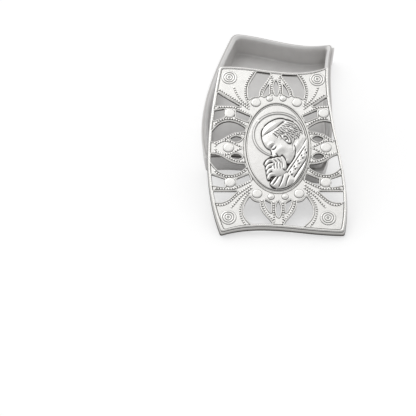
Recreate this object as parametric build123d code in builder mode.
from build123d import *
from math import acos, atan2, cos, degrees, hypot, radians, sin
import os

# Keepsake box for a rosary: a wavy-sided tray and the openwork lid that was lifted off it.
# The lid leans on the tray's near rim, with its lower edge on the table.
# Frame: millimetres, +Z up, +Y from the near end to the far end of the tray.
# Origin: on the tray's underside, below the middle of its outline.

# Outline shared by the tray and the lid, from above: four corners and the waves between them
box_length = 84.0
near_width = 53.1
near_shift = 1.65
far_width = 49.4
far_shift = -0.8
left_belly = 29.3
left_belly_y = -24.0
left_flank = 30.1
left_flank_y = 8.0
right_belly = 29.8
right_belly_y = -26.0
right_waist = 24.1
right_waist_y = 24.0
near_hollow = 2.7
near_hollow_x = -9.0
near_ease = 1.0
near_ease_x = 13.5
far_hollow = 3.1
far_hollow_x = 7.0
far_ease = 0.4
far_ease_x = -14.0

# Tray: drafted wall, shoulder and the lip that the lid's skirt slips over
tray_height = 11.4
lip_height = 2.7
tray_wall = 3.15
tray_draft = 0.6
floor_thickness = 1.0
shoulder_corner = 0.9
lip_corner = 2.4
cavity_corner = 1.6
lip_round = 0.9

# Lid casting: pierced plate with a flared skirt, raised rim, rings, studs and an oval bezel
plate_thickness = 1.2
skirt_drop = 2.0
skirt_wall = 0.8
skirt_flare = 0.5
skirt_fit = 0.25
lid_corner = 0.8
rim_width = 0.9
rim_height = 0.35
frame_strip = 1.25
ring_radii = (3.4, 2.5, 1.6)
ring_line = 0.7
ring_height = 0.25
ring_dot = 0.6
side_stud_radius = 2.15
side_stud_height = 0.7
small_stud_radius = 1.4
small_stud_height = 0.5
stud_round = 0.35
bezel_half_width = 14.8
bezel_half_length = 23.0
bezel_wall = 1.15
bezel_height = 1.1
bezel_round = 0.4

# Medallion: relief foil over a cast core, held in the bezel by a film of adhesive
medallion_fit = 0.1
foil_thickness = 0.35
medallion_height = 1.6
medallion_round = 1.1
adhesive_thickness = 0.15
halo_radius = 9.8
halo_line = 0.6
halo_height = 0.35
halo_y = 7.2

# How the lid leans: the middle of its lower edge on the table, its turn, and the gap at the rim
foot_x = 13.15
foot_y = -76.05
lean_turn = 9.1
lean_gap = 0.25

# Openings of the lid, for the quarter with positive x and y about the middle of the medallion.
# They run on past the frame strip, which trims them to the outline.
reach_out = 32.0
arch_crown = [(13.9, 9.9), (17.5, 12.6), (21.3, 13.6), (25.0, 12.5), (28.0, 9.4), (reach_out, 5.0)]
arch_foot = [(reach_out, 3.4), (26.2, 3.6), (23.8, 4.8), (21.3, 6.6), (18.0, 7.9), (14.4, 8.3)]
almond_tips = [(15.6, 4.8), (20.7, 4.3)]
almond_sides = [(18.1, 5.9), (18.0, 3.0)]
wedge = [(18.0, 19.2), (11.7, 16.2), (12.8, 13.3), (18.1, 15.7)]
block = [(23.3, 15.7), (23.3, 20.0), (reach_out, 18.2), (reach_out, 12.5)]
far_ray = [(16.0, 21.3), (26.3, 28.4), (reach_out, reach_out), (reach_out, 21.9)]
near_ray_bank = [(17.9, 21.9), (20.6, 24.8), (23.6, 27.0), (26.4, 27.5), (reach_out, 25.0)]
far_dee_stem = [(2.3, 39.2), (4.1, 34.9), (6.9, 30.6), (7.8, 26.5)]
far_dee_bay = (10.2, 26.3)
far_dee_bow = [(12.1, 24.9), (12.7, 28.1), (12.4, 31.4), (10.9, 35.2), (8.4, 39.6)]
near_dee_stem = [(2.3, 38.6), (3.6, 36.4), (6.8, 32.3), (8.1, 29.0), (8.2, 27.0)]
near_dee_bay = (10.6, 26.5)
near_dee_bow = [(12.3, 24.5), (14.2, 27.6), (15.1, 31.0), (14.7, 34.2), (12.9, 37.0), (10.2, 39.6)]
petal = [(3.2, 32.6), (5.1, 29.4), (5.8, 26.2), (3.2, 27.8)]
spear_start, spear_end, spear_half_width = 26.9, 35.0, 1.05

# Studs by quarter, rings by corner: near-left, near-right, far-left, far-right
side_studs = [(21.0, 17.6), (21.0, -17.6), (-21.0, 17.6), (-21.0, -17.6), (21.6, 0), (-21.6, 0)]
big_studs = [(9.2, 23.2), (9.2, -23.2), (-9.2, 23.2), (-9.2, -23.2)]
small_studs = [(3.05, 25.3), (3.05, -24.7), (-3.05, 25.3), (-3.05, -24.7)]
ring_places = [(-21.85, -34.9), (21.5, -35.2), (-21.0, 36.4), (18.7, 35.4)]

edge_match = 0.01
half_length = box_length / 2
lip_inset = skirt_wall + skirt_fit
shoulder_height = tray_height - lip_height
skirt_depth = plate_thickness + skirt_drop
foil_inset = bezel_wall + medallion_fit
core_inset = foil_inset + foil_thickness


def wavy_outline(inset):
    """Face of the outline with every side moved inward by inset."""
    near_y = inset - half_length
    far_y = half_length - inset
    near_left = (near_shift - near_width / 2 + inset, near_y)
    near_right = (near_shift + near_width / 2 - inset, near_y)
    far_left = (far_shift - far_width / 2 + inset, far_y)
    far_right = (far_shift + far_width / 2 - inset, far_y)
    with BuildSketch() as outline:
        with BuildLine():
            Spline(near_left, (inset - left_belly, left_belly_y), (inset - left_flank, left_flank_y), far_left)
            Spline(far_left, (far_ease_x, far_y - far_ease), (far_hollow_x, far_y - far_hollow), far_right)
            Spline(
                far_right,
                (right_waist - inset, right_waist_y),
                (right_belly - inset, right_belly_y),
                near_right,
            )
            Spline(near_right, (near_ease_x, near_y + near_ease), (near_hollow_x, near_y + near_hollow), near_left)
        make_face()
    return outline.sketch


def oval(inset):
    """Face of the bezel's oval moved inward by inset."""
    with BuildSketch() as shape:
        Ellipse(bezel_half_width - inset, bezel_half_length - inset)
    return shape.sketch


def quarter(points, side, end):
    """Points of one quarter's outline moved to the quarter given by the signs side and end."""
    return [(side * x, end * y) for x, y in points]


def dee(stem, bay, bow, side, end):
    """Face of a D-shaped opening: a curved stem, a bay round the big stud and a bowed back."""
    stem, bow = quarter(stem, side, end), quarter(bow, side, end)
    with BuildSketch() as shape:
        with BuildLine():
            Spline(*stem)
            ThreePointArc(stem[-1], quarter([bay], side, end)[0], bow[0])
            Spline(*bow)
            Line(bow[-1], stem[0])
        make_face()
    return shape.sketch


def side_openings(side, end):
    """Face of one quarter's arch, almond and wedge."""
    crown, foot = quarter(arch_crown, side, end), quarter(arch_foot, side, end)
    tips, sides = quarter(almond_tips, side, end), quarter(almond_sides, side, end)
    with BuildSketch() as shape:
        with BuildLine():
            Spline(*crown)
            Line(crown[-1], foot[0])
            Spline(*foot)
            Line(foot[-1], crown[0])
        make_face()
        with BuildLine():
            ThreePointArc(tips[0], sides[0], tips[1])
            ThreePointArc(tips[1], sides[1], tips[0])
        make_face()
        with BuildLine():
            Polyline(*quarter(wedge, side, end), close=True)
        make_face()
    return shape.sketch


def polygon(points, side, end):
    """Face of a straight-sided opening."""
    with BuildSketch() as shape:
        with BuildLine():
            Polyline(*quarter(points, side, end), close=True)
        make_face()
    return shape.sketch


def near_ray(side):
    """Face of the near end's ray opening, with its curved bank towards the corner."""
    bank = quarter(near_ray_bank, side, -1)
    with BuildSketch() as shape:
        with BuildLine():
            Spline(*bank)
            Polyline(bank[-1], (bank[-1][0], bank[0][1]), bank[0])
        make_face()
    return shape.sketch


def lily(end):
    """Face of one end's spear-shaped slot and its two petals."""
    with BuildSketch() as shape:
        with BuildLine():
            ThreePointArc(
                (0, end * spear_start),
                (spear_half_width, end * (spear_start + spear_end) / 2),
                (0, end * spear_end),
            )
            ThreePointArc(
                (0, end * spear_end),
                (-spear_half_width, end * (spear_start + spear_end) / 2),
                (0, end * spear_start),
            )
        make_face()
        for side in (1, -1):
            points = quarter(petal, side, end)
            with BuildLine():
                Spline(*points[:3])
                Polyline(points[2], points[3], points[0])
            make_face()
    return shape.sketch


def upright_edges(builder, axis, height):
    """Edges of the last feature that run along an axis over the whole of a height."""
    return builder.edges(Select.LAST).filter_by(lambda edge: spans(edge, axis, height))


def spans(edge, axis, height):
    """True where an edge's ends lie a height apart along an axis."""
    rise = (edge @ 1 - edge @ 0).dot(axis.direction)
    return abs(abs(rise) - height) < edge_match


def top_edges(builder):
    """Edges round the highest faces of the lid's last feature."""
    return builder.faces(Select.LAST).filter_by(lid_plane).group_by(lid_axis)[-1].edges()


def lean_tilt(rim_corner, drop):
    """Tilt that lifts a surface drop above the skirt's edge clear of the tray's rim at a corner."""
    turn = radians(lean_turn)
    reach = (foot_x - rim_corner[0]) * sin(turn) + (rim_corner[1] - foot_y) * cos(turn)
    height = tray_height + lean_gap
    return acos(drop / hypot(reach, height)) - atan2(reach, height)


# The lid's underside clears the rim's near-right corner, its skirt the near-left one
rim_near_y = lip_inset - half_length
rim_left = (near_shift - near_width / 2 + lip_inset, rim_near_y)
rim_right = (near_shift + near_width / 2 - lip_inset, rim_near_y)
tilt = max(lean_tilt(rim_left, 0), lean_tilt(rim_right, skirt_drop))
turn = radians(lean_turn)
lid_across = Vector(cos(turn), sin(turn), 0)
lid_along = Vector(-sin(turn) * cos(tilt), cos(turn) * cos(tilt), sin(tilt))
lid_up = lid_across.cross(lid_along)
foot = Vector(foot_x, foot_y, 0)
lid_middle = foot + lid_along * (half_length + skirt_flare) + lid_up * skirt_depth
lid_plane = Plane(origin=lid_middle, x_dir=lid_across, z_dir=lid_up)
lid_axis = Axis(lid_middle, lid_up)
print(f"lid tilt {degrees(tilt):.2f} degrees, middle {lid_middle}")

os.makedirs("parts", exist_ok=True)

# Tray: one casting, open at the top
with BuildPart() as base_tray:
    with BuildSketch(Plane.XY):
        add(wavy_outline(tray_draft))
    with BuildSketch(Plane.XY.offset(shoulder_height)):
        add(wavy_outline(0))
    loft()
    fillet(upright_edges(base_tray, Axis.Z, shoulder_height), shoulder_corner)
    with BuildSketch(Plane.XY.offset(shoulder_height)):
        add(wavy_outline(lip_inset))
    extrude(amount=lip_height)
    fillet(upright_edges(base_tray, Axis.Z, lip_height), lip_corner)
    with BuildSketch(Plane.XY.offset(floor_thickness)):
        add(wavy_outline(tray_wall))
    extrude(amount=tray_height, mode=Mode.SUBTRACT)
    fillet(upright_edges(base_tray, Axis.Z, tray_height - floor_thickness), cavity_corner)
    rim_face = base_tray.faces().sort_by(Axis.Z)[-1]
    fillet(rim_face.inner_wires()[0].edges(), lip_round)
base_tray.part.label = "base_tray"
export_step(base_tray.part, "parts/base_tray.step")

# Lid casting
with BuildPart() as lid_frame:
    with BuildSketch(lid_plane.offset(-skirt_depth)):
        add(wavy_outline(-skirt_flare))
    with BuildSketch(lid_plane.offset(rim_height)):
        add(wavy_outline(0))
    loft()
    fillet(upright_edges(lid_frame, lid_axis, skirt_depth + rim_height), lid_corner)
    with BuildSketch(lid_plane):
        add(wavy_outline(rim_width))
    extrude(amount=rim_height, mode=Mode.SUBTRACT)
    with BuildSketch(lid_plane.offset(-skirt_depth)):
        add(wavy_outline(skirt_wall - skirt_flare))
    with BuildSketch(lid_plane.offset(-plate_thickness)):
        add(wavy_outline(skirt_wall))
    loft(mode=Mode.SUBTRACT)
    with BuildSketch(lid_plane):
        for side in (1, -1):
            for end in (1, -1):
                add(side_openings(side, end))
            add(polygon(block, side, -1))
            add(polygon(far_ray, side, 1))
            add(near_ray(side))
            add(dee(far_dee_stem, far_dee_bay, far_dee_bow, side, 1))
            add(dee(near_dee_stem, near_dee_bay, near_dee_bow, side, -1))
        add(polygon(block, -1, 1))
        add(lily(1))
        add(lily(-1))
        add(wavy_outline(frame_strip), mode=Mode.INTERSECT)
    extrude(amount=-plate_thickness, mode=Mode.SUBTRACT)
    with BuildSketch(lid_plane):
        with Locations(*ring_places):
            for radius in ring_radii:
                Circle(radius)
                Circle(radius - ring_line, mode=Mode.SUBTRACT)
            Circle(ring_dot)
    extrude(amount=ring_height)
    with BuildSketch(lid_plane):
        with Locations(*side_studs, *big_studs):
            Circle(side_stud_radius)
    extrude(amount=side_stud_height)
    fillet(top_edges(lid_frame), stud_round)
    with BuildSketch(lid_plane):
        with Locations(*small_studs):
            Circle(small_stud_radius)
    extrude(amount=small_stud_height)
    fillet(top_edges(lid_frame), stud_round)
    with BuildSketch(lid_plane):
        add(oval(0))
        add(oval(bezel_wall), mode=Mode.SUBTRACT)
    extrude(amount=bezel_height)
    fillet(top_edges(lid_frame), bezel_round)
lid_frame.part.label = "lid_frame"
export_step(lid_frame.part, "parts/lid_frame.step")

# Film of adhesive under the medallion's core
with BuildPart() as medallion_adhesive:
    with BuildSketch(lid_plane):
        add(oval(core_inset))
    extrude(amount=adhesive_thickness)
medallion_adhesive.part.label = "medallion_adhesive"
export_step(medallion_adhesive.part, "parts/medallion_adhesive.step")

# Cast core that fills the relief foil
with BuildPart() as medallion_core:
    with BuildSketch(lid_plane.offset(adhesive_thickness)):
        add(oval(core_inset))
    extrude(amount=medallion_height - foil_thickness - adhesive_thickness)
    fillet(top_edges(medallion_core), medallion_round - foil_thickness)
medallion_core.part.label = "medallion_core"
export_step(medallion_core.part, "parts/medallion_core.step")

# Relief foil, its rim folded down round the core
with BuildPart() as medallion_foil:
    with BuildSketch(lid_plane):
        add(oval(foil_inset))
    extrude(amount=medallion_height)
    fillet(top_edges(medallion_foil), medallion_round)
    add(medallion_core.part, mode=Mode.SUBTRACT)
    add(medallion_adhesive.part, mode=Mode.SUBTRACT)
    with BuildSketch(lid_plane.offset(medallion_height)):
        with Locations((0, halo_y)):
            Circle(halo_radius)
            Circle(halo_radius - halo_line, mode=Mode.SUBTRACT)
    extrude(amount=halo_height)
medallion_foil.part.label = "medallion_foil"
export_step(medallion_foil.part, "parts/medallion_foil.step")
